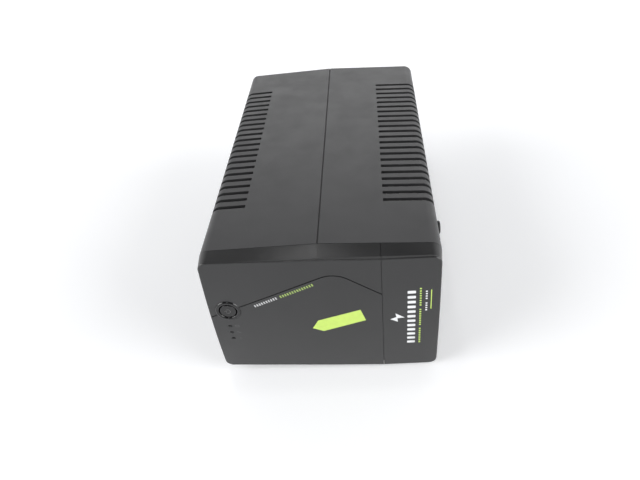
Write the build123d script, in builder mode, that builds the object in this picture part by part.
"""Line-interactive uninterruptible power supply, tower housing, lying on its side.

Axes: -Y is the front, +X is the base with the feet, -X is the top of the tower,
and +Z is the side that faces up as the unit lies. Millimetres. The origin is at
the centre of the bounding box in X and Y, on its lowest point in Z.
"""
from build123d import *
import math
import os

os.makedirs("parts", exist_ok=True)

# ---- driving dimensions -------------------------------------------------
DEPTH = 320.0            # front apex to rear rim
HEIGHT = 181.0           # top face to base face of the housing, along X
WIDTH = 128.5            # ridge to ridge, across the parting line
EDGE_DROP = 3.4          # draft of each side from the parting line to the edge
WALL = 2.5
EDGE_R = 8.5             # rounding of the long edges
EDGE_IN_R = 4.0          # the same edges inside
FOOT_H = 4.0
FOOT_R = 5.5

PART_X = -FOOT_H / 2     # parting plane between cover and tray
TOP_X = PART_X - HEIGHT / 2
BASE_X = PART_X + HEIGHT / 2
TOP_IN = TOP_X + WALL
BASE_IN = BASE_X - WALL
FRONT_Y = -DEPTH / 2
REAR_Y = DEPTH / 2
MID_Z = WIDTH / 2

SEAM_Y = FRONT_Y + 18.0       # joint between fascia and shells
SEAM_GAP = 0.35
PANEL_OUT = REAR_Y - 3.0      # outer face of the rear panel
PANEL_T = 3.0
PANEL_IN = PANEL_OUT - PANEL_T

# ventilation slots over the four long edges
SLOT_COUNT = 22
SLOT_PITCH = 9.7
SLOT_W = 3.9
SLOT_REAR_Y = REAR_Y - 46.0   # centre of the rearmost slot
SLOT_TOP_IN = PART_X - 61.2   # inner end on the cover
SLOT_BASE_IN = PART_X + 49.8  # inner end on the tray
SLOT_DOWN = 16.0              # how far a slot reaches down the wall
SLOT_END_R = 0.6              # corner rounding of a slot's end

# fascia
FACE_DROP = 4.7          # face edge below the ridge
FACE_INSET = 1.35        # face edge inside the top and base walls
FACE_CROWN = 0.65        # crown of the long face edges
FACE_CORNER_R = 6.5
FACE_BULGE = 3.0         # forward bow of the face, top to bottom as it lies
CREST_X = PART_X + 45.9  # line where fascia and brand strip meet
TOP_SETBACK = 2.6        # the face falls back from the crest to the top end
BASE_SETBACK = 1.1
FACE_WALL = 2.8
FACE_EDGE_R = 1.1        # rounding between the face and the band around it
STRIP_GAP = 0.35
LIP_T = 1.2              # thickness of the overlapping lips behind a joint
LIP_CLEAR = 0.12
GROOVE_W = 0.9
GROOVE_D = 0.6

# power button and indicators
BUTTON_X = PART_X - 73.7
BUTTON_Z = 76.1
BUTTON_R = 6.5
RING_IN_R = 7.0
RING_OUT_R = 10.2
RING_RISE = 1.0          # crest of the domed ring above the face
LED_X = PART_X - 75.5
LED_ZS = (58.6, 51.0, 43.4)
LENS_L = 3.8
LENS_W = 2.4

# case screws through long posts
POST_R = 4.0
POST_EDGE_Z = 11.0
POST_YS = (SEAM_Y + 9.0, PANEL_IN - POST_R)
POST_ZS = (POST_EDGE_Z, WIDTH - POST_EDGE_Z)
SCREW_R = 1.8
SCREW_HEAD_R = 3.1
HEAD_H = 2.5
CASE_HEAD_X = PART_X + 30.0      # seat of a screw head, deep in its post
COVER_TAP_X = TOP_IN + 8.0       # rear panel screws in the cover's posts
CASE_SCREW_L = 46.0

# small self-tapping screws
TAP_R = 1.3              # core of the screw and its tapping hole
TAP_L = 6.5
TAP_CLEAR_R = 1.9        # clearance hole for the same screw
CROSS_W = 0.8            # width of a cross recess

# batteries: 12 V, 9 Ah
BATTERY = (65.0, 151.0, 94.0)
BATTERY_Y0 = SEAM_Y + 11.0
BATTERY_Z0 = MID_Z - BATTERY[2] / 2
BATTERY_GAP = 0.5

# transformer with EI-96 laminations
CORE = (80.0, 96.0, 50.0)
CORE_Y = BATTERY_Y0 + BATTERY[1] + 8.0 + CORE[1] / 2
CORE_BAR = 16.0          # width of a yoke, of an outer leg and of a window

# main board
BOARD_Z = 109.5
BOARD_T = 1.6
BOARD_X = (TOP_IN + 6.0, PART_X + 52.0)
BOARD_Y = (CORE_Y - CORE[1] / 2 - 4.0, PANEL_IN - 29.0)

# rear equipment
FAN_SIZE = 80.0
FAN_T = 25.0
FAN_X = PART_X - 43.0
FAN_HOLES = 71.5
FAN_BORE_R = 38.0
OUTLET_PITCH_X = 26.0
OUTLET_PITCH_Z = 33.0
OUTLET_X0 = PART_X + 16.0
ROW_X = PART_X + 67.5    # row of inlet, breaker, data sockets
INLET_Z = MID_Z - OUTLET_PITCH_Z
BREAKER_Z = 54.5
JACK_ZS = (71.0, 87.0)
USB_Z = 104.0


def side_z(x):
    """Height of the outer upper side above the rest plane at x."""
    return WIDTH - EDGE_DROP * abs(x - PART_X) / (HEIGHT / 2)


def shell_outline(inset, x0, x1, corner_r):
    """Part of the housing's cross-section between x0 and x1, drawn in X and Z."""
    xs = sorted({x0, x1, PART_X} & {x for x in (x0, x1, PART_X) if x0 <= x <= x1})
    upper = [(x, side_z(x) - inset) for x in xs]
    lower = [(x, WIDTH - side_z(x) + inset) for x in reversed(xs)]
    with BuildSketch(Plane.XZ) as outline:
        with BuildLine():
            Polyline(*upper, *lower, close=True)
        make_face()
        walls = [x for x in (x0, x1) if abs(x - PART_X) > HEIGHT / 4]
        corners = [v for v in outline.vertices() if min(abs(v.X - w) for w in walls) < 0.01]
        fillet(corners, corner_r)
    return outline.sketch


def along_y(sketch, y0, y1, mode=Mode.ADD):
    """Extrude a sketch drawn on Plane.XZ so that it fills y0..y1."""
    extrude(sketch.moved(Location((0, y1, 0))), amount=y1 - y0, mode=mode)


def block(x0, x1, y0, y1, z0, z1, mode=Mode.ADD):
    """Box between two corners, in the part's own frame."""
    with Locations(((x0 + x1) / 2, (y0 + y1) / 2, (z0 + z1) / 2)):
        Box(x1 - x0, y1 - y0, z1 - z0, mode=mode)


def rod_x(x0, x1, y, z, r, mode=Mode.ADD):
    """Cylinder along X."""
    with Locations(((x0 + x1) / 2, y, z)):
        Cylinder(r, x1 - x0, rotation=(0, 90, 0), mode=mode)


def rod_y(x, y0, y1, z, r, mode=Mode.ADD):
    """Cylinder along Y."""
    with Locations((x, (y0 + y1) / 2, z)):
        Cylinder(r, y1 - y0, rotation=(90, 0, 0), mode=mode)


def rod_z(x, y, z0, z1, r, mode=Mode.ADD):
    """Cylinder along Z."""
    with Locations((x, y, (z0 + z1) / 2)):
        Cylinder(r, z1 - z0, mode=mode)


def save(builder, name):
    builder.part.label = name
    export_step(builder.part, f"parts/{name}.step")


# ---- shells ---------------------------------------------------------------
SLOT_YS = [SLOT_REAR_Y - SLOT_PITCH * i for i in range(SLOT_COUNT)]


def cut_slots(x_in, x_wall):
    """Slots that start at x_in, run over both long edges and down the wall."""
    run = abs(x_wall - x_in) + 8.0
    x_mid = x_in + math.copysign(run / 2, x_wall - x_in)
    for z0, z1 in ((WIDTH - EDGE_DROP - SLOT_DOWN, WIDTH + 1), (-1, EDGE_DROP + SLOT_DOWN)):
        with BuildSketch(Plane.XY.offset(z0)) as slots:
            with Locations(*[(x_mid, y) for y in SLOT_YS]):
                RectangleRounded(run, SLOT_W, SLOT_END_R)
        extrude(slots.sketch, amount=z1 - z0, mode=Mode.SUBTRACT)


def seam_groove():
    """Chamfers that make the V groove along the parting line."""
    for z in (0.0, WIDTH):
        with BuildSketch(Plane.XZ) as groove:
            with Locations((PART_X, z)):
                Rectangle(1.1, 1.1, rotation=45)
        along_y(groove.sketch, SEAM_Y - 1, REAR_Y + 1, Mode.SUBTRACT)


with BuildPart() as top_cover:
    along_y(shell_outline(0, TOP_X, PART_X, EDGE_R), SEAM_Y, REAR_Y)
    along_y(shell_outline(WALL, TOP_IN, PART_X + 1, EDGE_IN_R), SEAM_Y - 1, REAR_Y + 1,
            Mode.SUBTRACT)
    cut_slots(SLOT_TOP_IN, TOP_X)
    seam_groove()
    for y in POST_YS:
        for z in POST_ZS:
            rod_x(TOP_IN - 1, PART_X, y, z, POST_R)
            rod_x(CASE_HEAD_X - CASE_SCREW_L, PART_X, y, z, SCREW_R, Mode.SUBTRACT)
            # tapping hole for a rear panel screw
            rod_y(COVER_TAP_X, PANEL_IN - TAP_L - 0.5, PANEL_IN, z, TAP_R, Mode.SUBTRACT)
save(top_cover, "top_cover")

BOSS_R = 3.6
TRAY_PANEL_SCREWS = [(BASE_IN - 4.5, z) for z in (POST_EDGE_Z + 12.0, WIDTH - POST_EDGE_Z - 12.0)]
with BuildPart() as base_tray:
    along_y(shell_outline(0, PART_X, BASE_X, EDGE_R), SEAM_Y, REAR_Y)
    along_y(shell_outline(WALL, PART_X - 1, BASE_IN, EDGE_IN_R), SEAM_Y - 1, REAR_Y + 1,
            Mode.SUBTRACT)
    cut_slots(SLOT_BASE_IN, BASE_X)
    seam_groove()
    for y in POST_YS:
        for z in POST_ZS:
            rod_x(PART_X, BASE_IN + 1, y, z, POST_R)
            rod_x(CASE_HEAD_X, BASE_X + 1, y, z, SCREW_HEAD_R, Mode.SUBTRACT)
            rod_x(PART_X - 1, CASE_HEAD_X + 1, y, z, SCREW_R, Mode.SUBTRACT)
    for x, z in TRAY_PANEL_SCREWS:
        block(x, BASE_IN + 1, PANEL_IN - 9, PANEL_IN, z - BOSS_R, z + BOSS_R)
        rod_y(x, PANEL_IN - 9, PANEL_IN, z, BOSS_R)
        rod_y(x, PANEL_IN - TAP_L - 0.5, PANEL_IN, z, TAP_R, Mode.SUBTRACT)
    # tongue that keeps the two shells in line, inside the cover's wall
    for sign in (1, -1):
        z_wall = WIDTH - WALL if sign > 0 else WALL
        z_far = z_wall - sign * (LIP_CLEAR + LIP_T)
        z_near = z_wall - sign * (LIP_CLEAR + 0.15)
        block(PART_X - 4.0, PART_X + 3.0, SEAM_Y + 15, PANEL_IN - 12, min(z_near, z_far),
              max(z_near, z_far))
        block(PART_X + 0.2, PART_X + 3.0, SEAM_Y + 15, PANEL_IN - 12,
              min(z_wall, z_far), max(z_wall, z_far))
save(base_tray, "base_tray")


# ---- fascia ---------------------------------------------------------------
def ridge_outline(inset, y):
    """Outline of the housing as six sides with rounded corners, facing the front."""
    hx = HEIGHT / 2 - inset
    zs = WIDTH / 2 - EDGE_DROP - inset
    zr = WIDTH / 2 - inset
    with BuildSketch(Plane((PART_X, y, MID_Z), x_dir=(1, 0, 0), z_dir=(0, -1, 0))) as outline:
        with BuildLine():
            Polyline((-hx, zs), (0, zr), (hx, zs), (hx, -zs), (0, -zr), (-hx, -zs), close=True)
        make_face()
        fillet([v for v in outline.vertices() if abs(v.X - PART_X) > 1], EDGE_R - inset)
    return outline.sketch


def face_outline(inset, y):
    """Outline of the front face: long edges crowned, corners rounded."""
    hx = HEIGHT / 2 - FACE_INSET - inset
    zs = WIDTH / 2 - FACE_DROP - inset
    zr = zs + FACE_CROWN
    with BuildSketch(Plane((PART_X, y, MID_Z), x_dir=(1, 0, 0), z_dir=(0, -1, 0))) as outline:
        with BuildLine():
            Polyline((-hx, zs), (0, zr), (hx, zs), (hx, -zs), (0, -zr), (-hx, -zs), close=True)
        make_face()
        fillet([v for v in outline.vertices() if abs(v.X - PART_X) > 1], FACE_CORNER_R - inset)
    return outline.sketch


BAND_END_Y = FRONT_Y + 6.2
RIM_Y = SEAM_Y - SEAM_GAP


def pillow(setback):
    """Solid behind the bowed front face, moved back by setback."""
    margin = 4.0
    stations = (
        (TOP_X - margin, TOP_SETBACK * (1 + margin / (CREST_X - TOP_X))),
        (CREST_X, 0.0),
        (BASE_X + margin, BASE_SETBACK * (1 + margin / (BASE_X - CREST_X))),
    )
    half = WIDTH / 2 - FACE_DROP
    reach = WIDTH / 2 + 6.0
    bow_r = (half ** 2 + FACE_BULGE ** 2) / (2 * FACE_BULGE)
    drop = bow_r - math.sqrt(bow_r ** 2 - reach ** 2)
    profiles = []
    for x, back in stations:
        apex = FRONT_Y + setback + back
        with BuildSketch(Plane.YZ.offset(x)) as profile:
            with BuildLine():
                ThreePointArc((apex + drop, MID_Z - reach), (apex, MID_Z),
                              (apex + drop, MID_Z + reach))
                Polyline((apex + drop, MID_Z + reach), (SEAM_Y + 12, MID_Z + reach),
                         (SEAM_Y + 12, MID_Z - reach), (apex + drop, MID_Z - reach))
            make_face()
        profiles.append(profile.sketch)
    with BuildPart() as solid:
        loft(profiles, ruled=True)
    return solid.part


def fascia_body(inset, setback, back_y):
    """Band from the shell's outline to the face outline, with the bowed face."""
    face_block = pillow(setback)
    with BuildPart() as body:
        loft([ridge_outline(inset, RIM_Y), face_outline(inset, BAND_END_Y)])
        extrude(face_outline(inset, BAND_END_Y), amount=BAND_END_Y - FRONT_Y + 2)
        if back_y > RIM_Y:
            extrude(ridge_outline(inset, back_y), amount=back_y - RIM_Y)
        add(face_block, mode=Mode.INTERSECT)
    return body.part


def rounded_face(body):
    """The body with the edge around its front face rounded."""
    front = body.faces().sort_by(Axis.Y)[:2]
    around = [e for face in front for e in face.edges() if abs(e.center().X - CREST_X) > 0.5]
    return body.fillet(FACE_EDGE_R, around)


LIP_IN = WALL + LIP_CLEAR
FACE_LIP_IN = FACE_WALL + LIP_CLEAR
FASCIA_OUTER = rounded_face(fascia_body(0, 0, RIM_Y))
FASCIA_INNER = fascia_body(WALL, FACE_WALL, SEAM_Y + 6)
TONGUE_OUTER = fascia_body(LIP_IN, FACE_LIP_IN, RIM_Y)
TONGUE_INNER = fascia_body(LIP_IN + LIP_T, FACE_LIP_IN + LIP_T, SEAM_Y + 6)
PILLOW_GROOVE = pillow(GROOVE_D)

# tongue on the panel's edge, which reaches behind the brand strip
TONGUE_X = (CREST_X - 3.0, CREST_X + 2.5)
with BuildPart() as crest_tongue:
    add(TONGUE_OUTER)
    block(*TONGUE_X, FRONT_Y - 5, SEAM_Y + 5, -5, WIDTH + 5, Mode.INTERSECT)
with BuildPart() as crest_root:
    add(FASCIA_INNER)
    block(TONGUE_X[0], CREST_X - STRIP_GAP / 2, FRONT_Y - 5, RIM_Y, -5, WIDTH + 5,
          Mode.INTERSECT)


def rim_lip(x_low, x_root_low, x_root_high, x_high):
    """Lip that reaches into the shells, on a root that stands inside the band's wall."""
    rear_y = SEAM_Y + 4.0
    root_y = RIM_Y - 0.8
    front_y = SEAM_Y - 5.0
    with BuildPart() as lip:
        extrude(ridge_outline(LIP_IN, rear_y), amount=rear_y - front_y)
        block(x_low, x_high, front_y, rear_y, -5, WIDTH + 5, Mode.INTERSECT)
    with BuildPart() as root:
        extrude(ridge_outline(WALL - 0.6, root_y), amount=root_y - front_y)
        block(x_root_low, x_root_high, front_y, root_y, -5, WIDTH + 5, Mode.INTERSECT)
    with BuildPart() as hollow:
        extrude(ridge_outline(LIP_IN + LIP_T, rear_y + 1), amount=rear_y - front_y + 2)
    return (lip.part + root.part) - hollow.part


# groove that rises past the button, turns over near the middle and falls to the crest line
APEX = (PART_X + 11.5, 113.0)
GROOVE_START = (TOP_X + 2.1, 69.5)
GROOVE_END = (CREST_X, 91.2)
with BuildSketch(Plane.XZ) as groove_path:
    with BuildLine() as groove_line:
        FilletPolyline(GROOVE_START, APEX, GROOVE_END, radius=22.0)
    trace(groove_line.line, line_width=GROOVE_W)
with BuildPart() as groove_cut:
    along_y(groove_path.sketch, FRONT_Y - 1, SEAM_Y)
    add(PILLOW_GROOVE, mode=Mode.SUBTRACT)

BOARD_FRONT_Y = FRONT_Y + 14.0
BOARD_BACK_Y = BOARD_FRONT_Y + BOARD_T
DISPLAY_X = (TOP_X + 8.0, PART_X - 60.0)
DISPLAY_Z = (34.0, 96.0)
DISPLAY_POSTS = [(PART_X - 67.0, 90.0), (PART_X - 67.0, 38.5)]

PANEL_TONGUE = crest_tongue.part + crest_root.part - TONGUE_INNER
PANEL_LIP = rim_lip(TOP_X, TOP_X, CREST_X - STRIP_GAP / 2, TONGUE_X[1])
STRIP_SPACE = Box(20, 20, WIDTH + 10).moved(
    Location((CREST_X - STRIP_GAP / 2 + 10, RIM_Y - 10, MID_Z)))
PANEL_LIP -= STRIP_SPACE
STRIP_LIP = rim_lip(TONGUE_X[1] + 0.5, TONGUE_X[1] + 0.5, BASE_X, BASE_X)
with BuildPart() as front_panel:
    add(FASCIA_OUTER)
    add(FASCIA_INNER, mode=Mode.SUBTRACT)
    block(CREST_X - STRIP_GAP / 2, BASE_X + 10, FRONT_Y - 5, SEAM_Y + 20, -5, WIDTH + 5,
          Mode.SUBTRACT)
    # posts for the display board
    for x, z in DISPLAY_POSTS:
        rod_y(x, FRONT_Y + 4.5, BOARD_FRONT_Y, z, 3.0)
        rod_y(x, BOARD_FRONT_Y - 5, BOARD_FRONT_Y + 1, z, 1.2, Mode.SUBTRACT)
    add(PANEL_TONGUE)
    add(PANEL_LIP)
    add(groove_cut.part, mode=Mode.SUBTRACT)
    rod_y(BUTTON_X, FRONT_Y - 2, SEAM_Y, BUTTON_Z, RING_OUT_R, Mode.SUBTRACT)
    for z in LED_ZS:
        with BuildSketch(Plane.XZ) as lens_hole:
            with Locations((LED_X, z)):
                SlotOverall(LENS_L, LENS_W)
        along_y(lens_hole.sketch, FRONT_Y - 2, BOARD_FRONT_Y - 6, Mode.SUBTRACT)
save(front_panel, "front_panel")

with BuildPart() as base_strip:
    add(FASCIA_OUTER)
    add(FASCIA_INNER, mode=Mode.SUBTRACT)
    block(TOP_X - 10, CREST_X + STRIP_GAP / 2, FRONT_Y - 5, SEAM_Y + 20, -5, WIDTH + 5,
          Mode.SUBTRACT)
    # clips that reach into the tray
    for z in (24.0, MID_Z, WIDTH - 24.0):
        block(BASE_IN - 3.2, BASE_IN - 0.3, SEAM_Y - 10, SEAM_Y + 7, z - 6, z + 6)
    add(STRIP_LIP)
save(base_strip, "base_strip")

# ---- power button ---------------------------------------------------------
FACE_AT_BUTTON = FRONT_Y + 2.4
RING_BACK_Y = FACE_AT_BUTTON + 2.6

with BuildPart() as button_ring:
    with BuildSketch(Plane.XY.offset(BUTTON_Z)):
        with BuildLine():
            ThreePointArc((BUTTON_X + RING_IN_R, FACE_AT_BUTTON + 0.5),
                          (BUTTON_X + (RING_IN_R + RING_OUT_R) / 2, FACE_AT_BUTTON - RING_RISE),
                          (BUTTON_X + RING_OUT_R, FACE_AT_BUTTON + 0.15))
            Polyline((BUTTON_X + RING_OUT_R, FACE_AT_BUTTON + 0.15),
                     (BUTTON_X + RING_OUT_R, RING_BACK_Y), (BUTTON_X + RING_IN_R, RING_BACK_Y),
                     (BUTTON_X + RING_IN_R, FACE_AT_BUTTON + 0.5))
        make_face()
    revolve(axis=Axis((BUTTON_X, 0, BUTTON_Z), (0, 1, 0)))
save(button_ring, "button_ring")

CAP_FRONT_Y = FACE_AT_BUTTON - 0.5
CAP_BACK_Y = CAP_FRONT_Y + 5.2
STEM_END_Y = BOARD_FRONT_Y - 5.0
with BuildPart() as power_button:
    rod_y(BUTTON_X, CAP_FRONT_Y, CAP_BACK_Y, BUTTON_Z, BUTTON_R)
    fillet(power_button.faces().sort_by(Axis.Y)[0].edges(), 0.8)
    rod_y(BUTTON_X, CAP_BACK_Y - 1.2, CAP_BACK_Y, BUTTON_Z, RING_OUT_R - 1.5)
    rod_y(BUTTON_X, CAP_BACK_Y, STEM_END_Y, BUTTON_Z, 2.2)
save(power_button, "power_button")

with BuildPart() as switch_plunger:
    rod_y(BUTTON_X, STEM_END_Y, STEM_END_Y + 3.0, BUTTON_Z, 1.7)
save(switch_plunger, "switch_plunger")

with BuildPart() as power_switch:
    block(BUTTON_X - 3, BUTTON_X + 3, BOARD_FRONT_Y - 3.6, BOARD_FRONT_Y, BUTTON_Z - 3,
          BUTTON_Z + 3)
    rod_y(BUTTON_X, BOARD_FRONT_Y - 5, BOARD_FRONT_Y - 0.5, BUTTON_Z, 2.1, Mode.SUBTRACT)
save(power_switch, "power_switch")

with BuildPart() as display_board:
    block(*DISPLAY_X, BOARD_FRONT_Y, BOARD_BACK_Y, *DISPLAY_Z)
    for x, z in DISPLAY_POSTS:
        rod_y(x, BOARD_FRONT_Y - 1, BOARD_BACK_Y + 1, z, 1.5, Mode.SUBTRACT)
save(display_board, "display_board")

with BuildPart() as indicator_leds:
    for z in LED_ZS:
        rod_y(LED_X, BOARD_FRONT_Y - 4.0, BOARD_FRONT_Y, z, 1.5)
save(indicator_leds, "indicator_leds")

FACE_AT_LEDS = FRONT_Y + 2.45
with BuildPart() as indicator_lenses:
    for z in LED_ZS:
        with BuildSketch(Plane.XZ) as lens:
            with Locations((LED_X, z)):
                SlotOverall(LENS_L - 0.02, LENS_W - 0.02)
        along_y(lens.sketch, FACE_AT_LEDS - 0.35, BOARD_FRONT_Y - 6.2)
    fillet(indicator_lenses.faces().group_by(Axis.Y)[0].edges(), 0.8)
save(indicator_lenses, "indicator_lenses")

# ---- feet and case screws -------------------------------------------------
FOOT_PLACES = [(y, MID_Z + side * apart) for y, apart in ((FRONT_Y + 63.0, 37.5),
                                                         (REAR_Y - 45.0, 24.0))
               for side in (-1, 1)]
with BuildPart() as rubber_feet:
    for y, z in FOOT_PLACES:
        rod_x(BASE_X, BASE_X + FOOT_H, y, z, FOOT_R)
    chamfer(rubber_feet.faces().group_by(Axis.X)[-1].edges(), 0.8)
save(rubber_feet, "rubber_feet")

with BuildPart() as case_screws:
    for y in POST_YS:
        for z in POST_ZS:
            rod_x(CASE_HEAD_X - CASE_SCREW_L, CASE_HEAD_X, y, z, SCREW_R)
            rod_x(CASE_HEAD_X, CASE_HEAD_X + HEAD_H, y, z, SCREW_HEAD_R - 0.1)
            with Locations((CASE_HEAD_X + HEAD_H, y, z)):
                Box(2.4, 4.0, CROSS_W, mode=Mode.SUBTRACT)
                Box(2.4, CROSS_W, 4.0, mode=Mode.SUBTRACT)
save(case_screws, "case_screws")

# ---- batteries ------------------------------------------------------------
TAB_PLACES = [(18.0, 9.0), (18.0, BATTERY[1] - 9.0)]
LOWER_X1 = BASE_IN - BATTERY_GAP
UPPER_X1 = LOWER_X1 - BATTERY[0] - BATTERY_GAP
BATTERY_TOP_Z = BATTERY_Z0 + BATTERY[2]


def battery_case(x1):
    """Case with a stepped lid, its terminal side facing +Z."""
    x0 = x1 - BATTERY[0]
    y0 = BATTERY_Y0
    y1 = y0 + BATTERY[1]
    lid_z = BATTERY_TOP_Z - 14.0
    block(x0 + 0.6, x1 - 0.6, y0 + 0.6, y1 - 0.6, BATTERY_Z0, lid_z)
    block(x0, x1, y0, y1, lid_z, BATTERY_TOP_Z - 3.0)
    block(x0 + 10, x1 - 10, y0 + 20, y1 - 20, BATTERY_TOP_Z - 3.0, BATTERY_TOP_Z)


with BuildPart() as battery_lower:
    battery_case(LOWER_X1)
save(battery_lower, "battery_lower")

with BuildPart() as battery_upper:
    battery_case(UPPER_X1)
save(battery_upper, "battery_upper")

TAB_BASE_Z = BATTERY_TOP_Z - 3.0
TAB_TOP_Z = TAB_BASE_Z + 7.0
TAB_HALF_W = 3.2
TAB_HALF_T = 0.4
with BuildPart() as battery_terminals:
    for x1 in (LOWER_X1, UPPER_X1):
        for dx, dy in TAB_PLACES:
            x = x1 - BATTERY[0] + dx
            y = BATTERY_Y0 + dy
            block(x - TAB_HALF_W, x + TAB_HALF_W, y - TAB_HALF_T, y + TAB_HALF_T, TAB_BASE_Z,
                  TAB_TOP_Z)
            block(x - TAB_HALF_W, x + TAB_HALF_W, y + TAB_HALF_T, y + 3.4, TAB_BASE_Z,
                  TAB_BASE_Z + 2 * TAB_HALF_T)
save(battery_terminals, "battery_terminals")

LEAD_R = 1.5
TAB_X = [x1 - BATTERY[0] + TAB_PLACES[0][0] for x1 in (LOWER_X1, UPPER_X1)]
TAB_Y = [BATTERY_Y0 + dy for _, dy in TAB_PLACES]


def tab_socket(x, y):
    """Insulated push-on socket over a terminal tab."""
    block(x - 4.2, x + 4.2, y - 1.8, y + 1.8, TAB_TOP_Z - 5.5, TAB_TOP_Z + 1.0)
    block(x - 3.25, x + 3.25, y - 0.45, y + 0.45, TAB_TOP_Z - 6.5, TAB_TOP_Z, Mode.SUBTRACT)


WIRE_Z = TAB_TOP_Z + 1.0 - LEAD_R
WIRE_END_Y = BOARD_Y[0] + 6.0
with BuildPart() as battery_link:
    for x in TAB_X:
        tab_socket(x, TAB_Y[0])
    rod_x(TAB_X[1] + 4.0, TAB_X[0] - 4.0, TAB_Y[0], WIRE_Z, LEAD_R)
save(battery_link, "battery_link")

with BuildPart() as battery_lead_red:
    tab_socket(TAB_X[1], TAB_Y[1])
    rod_y(TAB_X[1], TAB_Y[1] + 1.7, WIRE_END_Y, WIRE_Z, LEAD_R)
    rod_z(TAB_X[1], WIRE_END_Y, BOARD_Z + BOARD_T, WIRE_Z + LEAD_R, LEAD_R)
save(battery_lead_red, "battery_lead_red")

with BuildPart() as battery_lead_black:
    tab_socket(TAB_X[0], TAB_Y[1])
    rod_y(TAB_X[0], TAB_Y[1] + 1.7, WIRE_END_Y, WIRE_Z, LEAD_R)
    rod_z(TAB_X[0], WIRE_END_Y, BOARD_Z + BOARD_T, WIRE_Z + LEAD_R, LEAD_R)
save(battery_lead_black, "battery_lead_black")

STRAP_T = 1.5
STRAP_Y = (BATTERY_Y0 + 50.0, BATTERY_Y0 + 80.0)
STRAP_X = UPPER_X1 - BATTERY[0] - 0.3
STRAP_Z = (BATTERY_Z0 - 0.8, BATTERY_TOP_Z + 0.8)
STRAP_FOOT = 6.4
STRAP_SCREW_Y = (STRAP_Y[0] + 7, STRAP_Y[1] - 7)
STRAP_SCREW_Z = (STRAP_Z[0] - 4.1, STRAP_Z[1] + 4.1)

with BuildPart() as battery_strap:
    block(STRAP_X - STRAP_T, STRAP_X, *STRAP_Y, STRAP_Z[0] - STRAP_T, STRAP_Z[1] + STRAP_T)
    for z0, z1 in ((STRAP_Z[0] - STRAP_T, STRAP_Z[0]), (STRAP_Z[1], STRAP_Z[1] + STRAP_T)):
        block(STRAP_X, BASE_IN, *STRAP_Y, z0, z1)
    block(BASE_IN - STRAP_T, BASE_IN, *STRAP_Y, STRAP_Z[0] - STRAP_FOOT, STRAP_Z[0])
    block(BASE_IN - STRAP_T, BASE_IN, *STRAP_Y, STRAP_Z[1], STRAP_Z[1] + STRAP_FOOT)
    for y in STRAP_SCREW_Y:
        for z in STRAP_SCREW_Z:
            rod_x(BASE_IN - STRAP_T - 1, BASE_IN + 1, y, z, 1.5, Mode.SUBTRACT)
save(battery_strap, "battery_strap")

with BuildPart() as strap_screws:
    for y in STRAP_SCREW_Y:
        for z in STRAP_SCREW_Z:
            rod_x(BASE_IN - STRAP_T - 1.8, BASE_IN - STRAP_T, y, z, 2.4)
            rod_x(BASE_IN - STRAP_T, BASE_IN, y, z, 1.5)
save(strap_screws, "strap_screws")

# ---- transformer ----------------------------------------------------------
CORE_X = BASE_IN - CORE[0] / 2
WINDOW_X = CORE[0] - 2 * CORE_BAR
LEG_W = 2 * CORE_BAR

with BuildPart() as transformer_core:
    with Locations((CORE_X, CORE_Y, MID_Z)):
        Box(*CORE)
    for sign in (1, -1):
        with Locations((CORE_X, CORE_Y + sign * (LEG_W / 2 + CORE_BAR / 2), MID_Z)):
            Box(WINDOW_X, CORE_BAR, CORE[2] + 2, mode=Mode.SUBTRACT)
save(transformer_core, "transformer_core")


def coil(grow_in, grow_out, length, corner_r):
    """Rectangular sleeve around the centre leg."""
    with BuildSketch(Plane.YZ.offset(CORE_X - length / 2)) as section:
        with Locations((CORE_Y, MID_Z)):
            RectangleRounded(LEG_W + 2 * grow_out, CORE[2] + 2 * grow_out, corner_r + grow_out)
            RectangleRounded(LEG_W + 2 * grow_in, CORE[2] + 2 * grow_in, corner_r + grow_in,
                             mode=Mode.SUBTRACT)
    extrude(section.sketch, amount=length)


BOBBIN_IN = 0.2
BOBBIN_OUT = 1.7
PRIMARY_OUT = 7.6
SECONDARY_OUT = 14.0
FLANGE_OUT = 15.2
with BuildPart() as transformer_bobbin:
    coil(BOBBIN_IN, BOBBIN_OUT, WINDOW_X - 1.0, 0.1)
    for sign in (1, -1):
        with BuildSketch(Plane.YZ.offset(CORE_X + sign * (WINDOW_X / 2 - 0.5))) as flange:
            with Locations((CORE_Y, MID_Z)):
                RectangleRounded(LEG_W + 2 * FLANGE_OUT, CORE[2] + 2 * FLANGE_OUT, 3)
                Rectangle(LEG_W + 2 * BOBBIN_IN, CORE[2] + 2 * BOBBIN_IN, mode=Mode.SUBTRACT)
        extrude(flange.sketch, amount=-sign * 1.5)
save(transformer_bobbin, "transformer_bobbin")

with BuildPart() as primary_winding:
    coil(BOBBIN_OUT, PRIMARY_OUT, WINDOW_X - 4.2, 0.1)
save(primary_winding, "primary_winding")

with BuildPart() as secondary_winding:
    coil(PRIMARY_OUT, SECONDARY_OUT, WINDOW_X - 4.2, 0.1)
save(secondary_winding, "secondary_winding")

BAND_Z = (MID_Z - 12.0, MID_Z + 12.0)
BAND_Y = (CORE_Y - CORE[1] / 2, CORE_Y + CORE[1] / 2)
BAND_X = CORE_X - CORE[0] / 2
BAND_FOOT = 6.0
with BuildPart() as transformer_clamp:
    block(BAND_X - STRAP_T, BAND_X, BAND_Y[0] - STRAP_T, BAND_Y[1] + STRAP_T, *BAND_Z)
    block(BAND_X, BASE_IN, BAND_Y[0] - STRAP_T, BAND_Y[0], *BAND_Z)
    block(BAND_X, BASE_IN, BAND_Y[1], BAND_Y[1] + STRAP_T, *BAND_Z)
    block(BASE_IN - STRAP_T, BASE_IN, BAND_Y[0] - BAND_FOOT, BAND_Y[0], *BAND_Z)
    block(BASE_IN - STRAP_T, BASE_IN, BAND_Y[1], BAND_Y[1] + BAND_FOOT, *BAND_Z)
save(transformer_clamp, "transformer_clamp")

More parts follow.
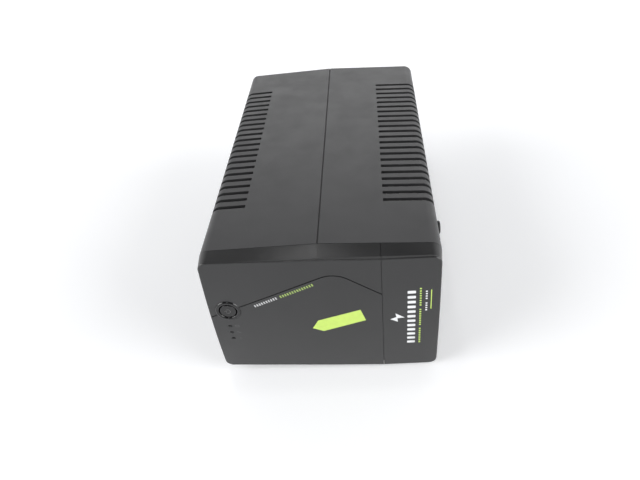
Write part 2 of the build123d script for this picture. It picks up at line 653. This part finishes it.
# ---- main board -----------------------------------------------------------
BOARD_TOP_Z = BOARD_Z + BOARD_T
BOSS_PLACES = [(x, y) for x in (PART_X + 10.0, PART_X + 40.0) for y in (BOARD_Y[0] + 14.0,
                                                                       BOARD_Y[1] - 8.0)]
with BuildPart() as main_board:
    block(*BOARD_X, *BOARD_Y, BOARD_Z, BOARD_TOP_Z)
    for x, y in BOSS_PLACES:
        rod_z(x, y, BOARD_Z - 1, BOARD_TOP_Z + 1, 1.6, Mode.SUBTRACT)
save(main_board, "main_board")

with BuildPart() as board_spacers:
    for x, y in BOSS_PLACES:
        rod_z(x, y, BOARD_TOP_Z, side_z(x + 3.5) - WALL - 0.05, 3.5)
        rod_z(x, y, BOARD_TOP_Z - 1, BOARD_TOP_Z + 6, TAP_R, Mode.SUBTRACT)
save(board_spacers, "board_spacers")

with BuildPart() as board_screws:
    for x, y in BOSS_PLACES:
        rod_z(x, y, BOARD_Z, BOARD_TOP_Z + 5, TAP_R)
        rod_z(x, y, BOARD_Z - 2.0, BOARD_Z, 2.7)
    for x, z in DISPLAY_POSTS:
        rod_y(x, BOARD_FRONT_Y - 4.5, BOARD_BACK_Y, z, 1.2)
        rod_y(x, BOARD_BACK_Y, BOARD_BACK_Y + 1.8, z, 2.5)
save(board_screws, "board_screws")

SINK_X = (BOARD_X[0] + 6.0, PART_X - 12.0)
SINK_Z = (BOARD_Z - 44.0, BOARD_Z)
SINK_YS = (BOARD_Y[0] + 10.0, BOARD_Y[1] - 10.0)
SINK_WEB = 3.0
FIN_COUNT = 6
FIN_T = 1.6
FIN_L = 8.0


def heat_sink(y_web, fin_dir):
    """Web with fins on the side away from the transistors."""
    y_face = y_web + fin_dir * SINK_WEB
    block(*SINK_X, min(y_web, y_face), max(y_web, y_face), *SINK_Z)
    step = (SINK_Z[1] - SINK_Z[0] - FIN_T) / (FIN_COUNT - 1)
    y_tip = y_face + fin_dir * FIN_L
    for i in range(FIN_COUNT):
        z = SINK_Z[0] + step * i
        block(*SINK_X, min(y_face, y_tip), max(y_face, y_tip), z, z + FIN_T)


with BuildPart() as heat_sink_front:
    heat_sink(SINK_YS[0] + 1.0, -1)
save(heat_sink_front, "heat_sink_front")

with BuildPart() as heat_sink_rear:
    heat_sink(SINK_YS[1] - 1.0, 1)
save(heat_sink_rear, "heat_sink_rear")

TRANSISTOR_XS = [SINK_X[0] + 9.0 + 17.0 * i for i in range(4)]
with BuildPart() as power_transistors:
    for x in TRANSISTOR_XS:
        for y_web, out in ((SINK_YS[0] + 1.0, 1), (SINK_YS[1] - 1.0, -1)):
            ya, yb = sorted((y_web, y_web + out * 4.5))
            block(x - 5, x + 5, ya, yb, BOARD_Z - 26, BOARD_Z - 11)
            for dx in (-2.5, 0, 2.5):
                yc = y_web + out * 2.4
                block(x + dx - 0.4, x + dx + 0.4, yc - 0.3, yc + 0.3, BOARD_Z - 11, BOARD_Z)
save(power_transistors, "power_transistors")

MID_Y = (BOARD_Y[0] + BOARD_Y[1]) / 2
with BuildPart() as filter_capacitors:
    for i in range(3):
        rod_z(SINK_X[0] + 9.0 + 20.0 * i, MID_Y + 8.0, BOARD_Z - 30.0, BOARD_Z, 8.0)
    fillet(filter_capacitors.faces().sort_by(Axis.Z)[0:3].edges(), 0.8)
save(filter_capacitors, "filter_capacitors")

with BuildPart() as power_relays:
    for i in range(3):
        y = MID_Y - 22.0 + 19.0 * i
        block(PART_X - 13.0, PART_X + 2.0, y, y + 15.5, BOARD_Z - 19.0, BOARD_Z)
save(power_relays, "power_relays")

with BuildPart() as control_chip:
    block(PART_X - 42, PART_X - 24, MID_Y - 9, MID_Y + 9, BOARD_TOP_Z, BOARD_TOP_Z + 2.4)
save(control_chip, "control_chip")

with BuildPart() as fuse_tube:
    rod_x(SINK_X[0] + 14.0, SINK_X[0] + 34.0, MID_Y - 12.0, BOARD_Z - 4.5, 2.5)
save(fuse_tube, "fuse_tube")

with BuildPart() as fuse_clips:
    for x in (SINK_X[0] + 15.5, SINK_X[0] + 28.5):
        block(x, x + 4, MID_Y - 15.6, MID_Y - 8.4, BOARD_Z - 6.0, BOARD_Z)
    rod_x(SINK_X[0] + 10, SINK_X[0] + 40, MID_Y - 12.0, BOARD_Z - 4.5, 2.55, Mode.SUBTRACT)
save(fuse_clips, "fuse_clips")

with BuildPart() as alarm_buzzer:
    rod_z(SINK_X[0] + 48.0, MID_Y - 12.0, BOARD_Z - 9.0, BOARD_Z, 6.0)
    rod_z(SINK_X[0] + 48.0, MID_Y - 12.0, BOARD_Z - 10.0, BOARD_Z - 8.0, 1.2, Mode.SUBTRACT)
save(alarm_buzzer, "alarm_buzzer")

# ---- rear panel -----------------------------------------------------------
OUTLETS = [(OUTLET_X0 + OUTLET_PITCH_X * row, MID_Z + OUTLET_PITCH_Z * col)
           for row in range(2) for col in (-1, 0, 1)]
INLET = (ROW_X, INLET_Z)
COVER_PANEL_SCREWS = [(COVER_TAP_X, z) for z in POST_ZS]
PANEL_SCREWS = COVER_PANEL_SCREWS + TRAY_PANEL_SCREWS
SOCKET_BODY = (19.6, 27.2)
SOCKET_FLANGE = (23.0, 31.0)
BREAKER_HOLE_R = 5.2
JACK_BODY = (13.0, 15.6)
USB_BODY = (11.0, 12.0)

with BuildPart() as rear_panel:
    along_y(shell_outline(WALL + 0.1, TOP_IN + 0.1, BASE_IN - 0.1, EDGE_IN_R), PANEL_IN,
            PANEL_OUT)
    rod_y(FAN_X, PANEL_IN - 1, PANEL_OUT + 1, MID_Z, FAN_BORE_R, Mode.SUBTRACT)
    for dx in (-1, 1):
        for dz in (-1, 1):
            rod_y(FAN_X + dx * FAN_HOLES / 2, PANEL_IN - 1, PANEL_OUT + 1,
                  MID_Z + dz * FAN_HOLES / 2, TAP_CLEAR_R, Mode.SUBTRACT)
    for x, z in OUTLETS + [INLET]:
        block(x - SOCKET_BODY[0] / 2, x + SOCKET_BODY[0] / 2, PANEL_IN - 1, PANEL_OUT + 1,
              z - SOCKET_BODY[1] / 2, z + SOCKET_BODY[1] / 2, Mode.SUBTRACT)
    rod_y(ROW_X, PANEL_IN - 1, PANEL_OUT + 1, BREAKER_Z, BREAKER_HOLE_R, Mode.SUBTRACT)
    for z in JACK_ZS:
        block(ROW_X - JACK_BODY[0] / 2, ROW_X + JACK_BODY[0] / 2, PANEL_IN - 1, PANEL_OUT + 1,
              z - JACK_BODY[1] / 2, z + JACK_BODY[1] / 2, Mode.SUBTRACT)
    block(ROW_X - USB_BODY[0] / 2, ROW_X + USB_BODY[0] / 2, PANEL_IN - 1, PANEL_OUT + 1,
          USB_Z - USB_BODY[1] / 2, USB_Z + USB_BODY[1] / 2, Mode.SUBTRACT)
    for x, z in PANEL_SCREWS:
        rod_y(x, PANEL_IN - 1, PANEL_OUT + 1, z, TAP_CLEAR_R, Mode.SUBTRACT)
save(rear_panel, "rear_panel")

with BuildPart() as panel_screws:
    for x, z in PANEL_SCREWS:
        rod_y(x, PANEL_IN - TAP_L, PANEL_OUT, z, TAP_R)
        rod_y(x, PANEL_OUT, PANEL_OUT + 1.9, z, 3.0)
        with Locations((x, PANEL_OUT + 1.9, z)):
            Box(3.6, 1.8, CROSS_W, mode=Mode.SUBTRACT)
            Box(CROSS_W, 1.8, 3.6, mode=Mode.SUBTRACT)
save(panel_screws, "panel_screws")

# ---- outlets and inlet ----------------------------------------------------
SOCKET_DEPTH = 20.0
GROOVE_OUT = (16.6, 24.2)
CORE_SIZE = (11.4, 19.0)
SLOT_SIZE = (4.4, 2.4)


def socket_profile(x, z, size, corner):
    """Rectangle with two cut corners, as on the standard appliance coupler."""
    hx = size[0] / 2
    hz = size[1] / 2
    with BuildSketch(Plane.XZ) as profile:
        with BuildLine():
            Polyline((x + hx, z - hz), (x - hx + corner, z - hz), (x - hx, z - hz + corner),
                     (x - hx, z + hz - corner), (x - hx + corner, z + hz), (x + hx, z + hz),
                     close=True)
        make_face()
    return profile.sketch


def socket_housing(x, z):
    """Flange outside the panel and a body that passes through it."""
    y_out = PANEL_OUT + 1.6
    block(x - SOCKET_FLANGE[0] / 2, x + SOCKET_FLANGE[0] / 2, PANEL_OUT, y_out,
          z - SOCKET_FLANGE[1] / 2, z + SOCKET_FLANGE[1] / 2)
    block(x - SOCKET_BODY[0] / 2 + 0.1, x + SOCKET_BODY[0] / 2 - 0.1, PANEL_OUT - SOCKET_DEPTH,
          PANEL_OUT, z - SOCKET_BODY[1] / 2 + 0.1, z + SOCKET_BODY[1] / 2 - 0.1)


def pin_places(x, z):
    """Earth contact above the line and neutral contacts, which are 14 mm apart."""
    return [(x - 2.0, z), (x + 2.0, z - 7.0), (x + 2.0, z + 7.0)]


def outlet(x, z):
    """Female outlet: ring groove for the plug's shroud and three contact slots."""
    socket_housing(x, z)
    y_bottom = PANEL_OUT - 15.0
    along_y(socket_profile(x, z, GROOVE_OUT, 4.0), y_bottom, PANEL_OUT + 2, Mode.SUBTRACT)
    along_y(socket_profile(x, z, CORE_SIZE, 2.6), y_bottom, PANEL_OUT + 0.6)
    for px, pz in pin_places(x, z):
        block(px - SLOT_SIZE[0] / 2, px + SLOT_SIZE[0] / 2, PANEL_OUT - 16.0, PANEL_OUT + 2,
              pz - SLOT_SIZE[1] / 2, pz + SLOT_SIZE[1] / 2, Mode.SUBTRACT)


for number, (ox, oz) in enumerate(OUTLETS, start=1):
    with BuildPart() as outlet_socket:
        outlet(ox, oz)
    save(outlet_socket, f"outlet_{number}")

with BuildPart() as outlet_contacts:
    for ox, oz in OUTLETS:
        for px, pz in pin_places(ox, oz):
            for side in (-1, 1):
                block(px - 1.9, px + 1.9, PANEL_OUT - 15.9, PANEL_OUT - 4.0,
                      pz + side * 0.95 - 0.2, pz + side * 0.95 + 0.2)
save(outlet_contacts, "outlet_contacts")

with BuildPart() as inlet_socket:
    socket_housing(*INLET)
    along_y(socket_profile(*INLET, GROOVE_OUT, 4.0), PANEL_OUT - 16.0, PANEL_OUT + 2,
            Mode.SUBTRACT)
    for px, pz in pin_places(*INLET):
        block(px - 2.0, px + 2.0, PANEL_OUT - SOCKET_DEPTH - 1, PANEL_OUT, pz - 1.0, pz + 1.0,
              Mode.SUBTRACT)
save(inlet_socket, "inlet_socket")

with BuildPart() as inlet_pins:
    for px, pz in pin_places(*INLET):
        block(px - 2.0, px + 2.0, PANEL_OUT - SOCKET_DEPTH - 6, PANEL_OUT - 1.5, pz - 1.0,
              pz + 1.0)
save(inlet_pins, "inlet_pins")

# ---- breaker --------------------------------------------------------------
with BuildPart() as breaker_body:
    block(ROW_X - 7.5, ROW_X + 7.5, PANEL_IN - 18, PANEL_IN, BREAKER_Z - 6.5, BREAKER_Z + 6.5)
    rod_y(ROW_X, PANEL_IN, PANEL_OUT + 2.6, BREAKER_Z, BREAKER_HOLE_R - 0.1)
    rod_y(ROW_X, PANEL_IN - 10, PANEL_OUT + 3, BREAKER_Z, 3.6, Mode.SUBTRACT)
    for side in (-1, 1):
        block(ROW_X + side * 4 - 3.1, ROW_X + side * 4 + 3.1, PANEL_IN - 24, PANEL_IN - 18,
              BREAKER_Z - 0.4, BREAKER_Z + 0.4)
save(breaker_body, "breaker_body")

with BuildPart() as breaker_nut:
    rod_y(ROW_X, PANEL_OUT, PANEL_OUT + 2.0, BREAKER_Z, 6.9)
    rod_y(ROW_X, PANEL_OUT - 1, PANEL_OUT + 3, BREAKER_Z, BREAKER_HOLE_R - 0.1, Mode.SUBTRACT)
    chamfer(breaker_nut.faces().sort_by(Axis.Y)[-1].edges().sort_by(SortBy.RADIUS)[-1], 0.6)
save(breaker_nut, "breaker_nut")

with BuildPart() as breaker_button:
    rod_y(ROW_X, PANEL_IN - 6, PANEL_OUT + 2.8, BREAKER_Z, 3.2)
    fillet(breaker_button.faces().sort_by(Axis.Y)[-1].edges(), 0.5)
save(breaker_button, "breaker_button")

# ---- data sockets ---------------------------------------------------------
with BuildPart() as surge_jacks:
    for z in JACK_ZS:
        block(ROW_X - JACK_BODY[0] / 2 + 0.1, ROW_X + JACK_BODY[0] / 2 - 0.1, PANEL_OUT - 17,
              PANEL_OUT + 0.8, z - JACK_BODY[1] / 2 + 0.1, z + JACK_BODY[1] / 2 - 0.1)
        block(ROW_X - 3.6, ROW_X + 3.4, PANEL_OUT - 12, PANEL_OUT + 2, z - 5.9, z + 5.9,
              Mode.SUBTRACT)
        block(ROW_X - 5.4, ROW_X - 3.5, PANEL_OUT - 12, PANEL_OUT + 2, z - 3.0, z + 3.0,
              Mode.SUBTRACT)
save(surge_jacks, "surge_jacks")

with BuildPart() as jack_contacts:
    for z in JACK_ZS:
        for i in range(8):
            zc = z + 1.02 * (i - 3.5)
            block(ROW_X + 2.6, ROW_X + 3.4, PANEL_OUT - 12, PANEL_OUT - 2.0, zc - 0.25, zc + 0.25)
save(jack_contacts, "jack_contacts")

with BuildPart() as usb_socket:
    block(ROW_X - USB_BODY[0] / 2 + 0.1, ROW_X + USB_BODY[0] / 2 - 0.1, PANEL_OUT - 16,
          PANEL_OUT + 0.5, USB_Z - USB_BODY[1] / 2 + 0.1, USB_Z + USB_BODY[1] / 2 - 0.1)
    along_y(socket_profile(ROW_X, USB_Z, (7.8, 8.5), 1.8), PANEL_OUT - 9, PANEL_OUT + 1,
            Mode.SUBTRACT)
    block(ROW_X - 1.6, ROW_X + 1.6, PANEL_OUT - 9, PANEL_OUT - 0.8, USB_Z - 2.8, USB_Z + 2.8)
save(usb_socket, "usb_socket")

# ---- fan ------------------------------------------------------------------
FAN_Y0 = PANEL_IN - FAN_T
HUB_R = 16.0
STATOR_R = 13.5
BLADE_TIP_R = 36.6
SHAFT_R = 1.5
FAN_CORNERS = [(FAN_X + dx * FAN_HOLES / 2, MID_Z + dz * FAN_HOLES / 2)
               for dx in (-1, 1) for dz in (-1, 1)]

with BuildPart() as fan_frame:
    with BuildSketch(Plane.XZ) as frame_plan:
        with Locations((FAN_X, MID_Z)):
            RectangleRounded(FAN_SIZE, FAN_SIZE, 5)
            Circle(FAN_BORE_R, mode=Mode.SUBTRACT)
        with Locations(*FAN_CORNERS):
            Circle(2.15, mode=Mode.SUBTRACT)
    along_y(frame_plan.sketch, FAN_Y0, PANEL_IN)
    # motor carrier: plate, bush tube and four struts on the inner side
    rod_y(FAN_X, FAN_Y0, FAN_Y0 + 2.0, MID_Z, HUB_R)
    rod_y(FAN_X, FAN_Y0, FAN_Y0 + 19.0, MID_Z, 3.6)
    with BuildSketch(Plane.XZ) as struts:
        with Locations((FAN_X, MID_Z)):
            with PolarLocations((HUB_R + FAN_BORE_R) / 2, 4, start_angle=45):
                Rectangle(FAN_BORE_R - HUB_R + 3, 3.2)
    along_y(struts.sketch, FAN_Y0, FAN_Y0 + 2.5)
    rod_y(FAN_X, FAN_Y0 + 1.0, FAN_Y0 + 20, MID_Z, SHAFT_R + 0.05, Mode.SUBTRACT)
save(fan_frame, "fan_frame")

with BuildPart() as fan_stator:
    with BuildSketch(Plane.XZ) as stator_plan:
        with Locations((FAN_X, MID_Z)):
            Circle(STATOR_R)
            Circle(3.6, mode=Mode.SUBTRACT)
            with PolarLocations(STATOR_R - 3.5, 4, start_angle=45):
                Rectangle(7.5, 3.0, mode=Mode.SUBTRACT)
    along_y(stator_plan.sketch, FAN_Y0 + 4.0, FAN_Y0 + 16.0)
save(fan_stator, "fan_stator")


def blade_section(radius, chord, pitch, thickness):
    """Blade cross-section, on a plane square to the radius that points along +Z."""
    plane = Plane((FAN_X, FAN_Y0 + 13.0, MID_Z + radius), x_dir=(1, 0, 0), z_dir=(0, 0, 1))
    with BuildSketch(plane) as section:
        Rectangle(chord, thickness, rotation=pitch)
    return section.sketch


BLADES = 7
FAN_AXIS = Axis((FAN_X, 0, MID_Z), (0, 1, 0))
with BuildPart() as blade:
    loft([blade_section(HUB_R - 0.8, 15.0, 48, 1.6), blade_section(BLADE_TIP_R, 19.0, 33, 1.2)])

with BuildPart() as fan_rotor:
    rod_y(FAN_X, FAN_Y0 + 3.0, FAN_Y0 + 22.0, MID_Z, HUB_R)
    fillet(fan_rotor.faces().sort_by(Axis.Y)[-1].edges(), 1.5)
    rod_y(FAN_X, FAN_Y0 + 2.0, FAN_Y0 + 20.0, MID_Z, STATOR_R + 0.9, Mode.SUBTRACT)
    rod_y(FAN_X, FAN_Y0 + 1.5, FAN_Y0 + 21.0, MID_Z, SHAFT_R)
    for i in range(BLADES):
        add(blade.part.rotate(FAN_AXIS, 360 / BLADES * i))
save(fan_rotor, "fan_rotor")

WIRE_R = 0.7
EYE_OUT = 0.9            # eyelet face above the wire's centre
GUARD_Y = PANEL_OUT + 0.75
with BuildPart() as fan_guard:
    for ring_r in (11.0, 18.5, 26.0, 33.5):
        with Locations((FAN_X, GUARD_Y + 1.0, MID_Z)):
            Torus(ring_r, WIRE_R, rotation=(90, 0, 0))
    for angle in (45, 135):
        dx = math.cos(math.radians(angle))
        dz = math.sin(math.radians(angle))
        reach = FAN_HOLES / math.sqrt(2) - 3.0
        with BuildSketch(Plane((FAN_X - dx * reach, GUARD_Y, MID_Z - dz * reach),
                               z_dir=(dx, 0, dz))) as wire:
            Circle(WIRE_R)
        extrude(wire.sketch, amount=2 * reach)
    # eyelets, all added before any hole is cut
    for x, z in FAN_CORNERS:
        rod_y(x, PANEL_OUT, GUARD_Y + EYE_OUT, z, 4.2)
    for x, z in FAN_CORNERS:
        rod_y(x, GUARD_Y - 2, GUARD_Y + 2, z, 2.15, Mode.SUBTRACT)
save(fan_guard, "fan_guard")

with BuildPart() as fan_screws:
    for x, z in FAN_CORNERS:
        rod_y(x, FAN_Y0 + 3.0, GUARD_Y + EYE_OUT, z, TAP_CLEAR_R)
        rod_y(x, GUARD_Y + EYE_OUT, GUARD_Y + EYE_OUT + 1.3, z, 3.6)
        with Locations((x, GUARD_Y + EYE_OUT + 1.3, z)):
            Box(4.0, 1.4, CROSS_W, mode=Mode.SUBTRACT)
            Box(CROSS_W, 1.4, 4.0, mode=Mode.SUBTRACT)
save(fan_screws, "fan_screws")
